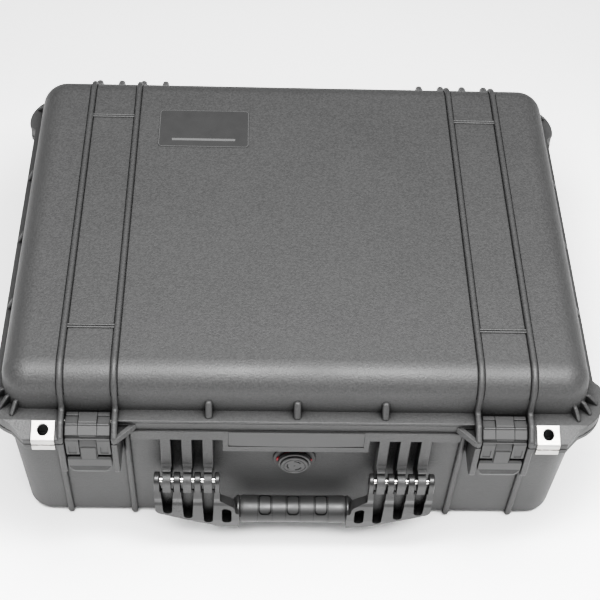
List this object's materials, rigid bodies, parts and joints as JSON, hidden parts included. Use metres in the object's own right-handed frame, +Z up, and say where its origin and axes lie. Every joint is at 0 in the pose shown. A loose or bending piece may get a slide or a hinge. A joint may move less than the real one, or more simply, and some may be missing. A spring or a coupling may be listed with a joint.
{
  "type": "hard protective equipment case",
  "caption": "Black moulded hard case with hinged lid, double-throw latches, fold-down front handle, padlock protectors, pressure vent and foam lining.",
  "frame": {"origin": "on the floor plane that the skid ribs stand on, under the middle of the whole object's box (handle folded down)", "axes": "+X to the right as seen from the handle side, +Y from the handle side towards the hinges, +Z up"},
  "size_m": [0.525, 0.441, 0.213],
  "materials": {
    "shell_plastic": "fine pebbled, satin",
    "latch_plastic": "smooth satin",
    "handle_plastic": "smooth semi-gloss",
    "grip_rubber": "soft satin",
    "vent_plastic": "smooth satin",
    "seal_rubber": "soft satin",
    "red_rubber": "satin",
    "stainless_steel": "bright rolled",
    "pin_steel": "polished",
    "vent_film": "matt",
    "label_film": "gloss film",
    "foam": "open-cell foam"
  },
  "bodies": {
    "base": {"base_shell": "shell_plastic", "base_clip_left": "stainless_steel", "base_clip_right": "stainless_steel", "hinge_pin_left": "pin_steel", "hinge_pin_right": "pin_steel", "vent_body": "vent_plastic", "vent_cap": "vent_plastic", "vent_seal": "red_rubber", "vent_nut": "vent_plastic", "vent_membrane": "vent_film", "name_panel": "shell_plastic", "floor_foam": "foam", "liner_front": "foam", "liner_back": "foam", "liner_left": "foam", "liner_right": "foam"},
    "lid": {"lid_shell": "shell_plastic", "lid_seal": "seal_rubber", "lid_clip_left": "stainless_steel", "lid_clip_right": "stainless_steel", "jaw_pin_left": "pin_steel", "jaw_pin_right": "pin_steel", "lid_label": "label_film", "lid_foam": "foam"},
    "jaw_left": {"latch_jaw_left": "latch_plastic", "lever_pin_left": "pin_steel"},
    "jaw_right": {"latch_jaw_right": "latch_plastic", "lever_pin_right": "pin_steel"},
    "lever_left": {"latch_lever_left": "latch_plastic"},
    "lever_right": {"latch_lever_right": "latch_plastic"},
    "handle": {"handle_frame": "handle_plastic", "handle_grip": "grip_rubber", "handle_pin_left": "pin_steel", "handle_pin_right": "pin_steel"}
  },
  "joints": [
    {"name": "lid_hinge", "type": "hinge", "parent": "base", "child": "lid", "pos_m": [0, 0.2125, 0.158], "axis": [-1, 0, 0], "range_deg": [0, 105]},
    {"name": "latch_left_swing", "type": "hinge", "parent": "lid", "child": "jaw_left", "pos_m": [-0.1741, -0.1985, 0.166], "axis": [-1, 0, 0], "range_deg": [0, 105]},
    {"name": "latch_right_swing", "type": "hinge", "parent": "lid", "child": "jaw_right", "pos_m": [0.1741, -0.1985, 0.166], "axis": [-1, 0, 0], "range_deg": [0, 105]},
    {"name": "lever_left_pull", "type": "hinge", "parent": "jaw_left", "child": "lever_left", "pos_m": [-0.1741, -0.2095, 0.16], "axis": [-1, 0, 0], "range_deg": [0, 55]},
    {"name": "lever_right_pull", "type": "hinge", "parent": "jaw_right", "child": "lever_right", "pos_m": [0.1741, -0.2095, 0.16], "axis": [-1, 0, 0], "range_deg": [0, 55]},
    {"name": "handle_swing", "type": "hinge", "parent": "base", "child": "handle", "pos_m": [0, -0.2108, 0.0975], "axis": [-1, 0, 0], "range_deg": [0, 100]}
  ]
}
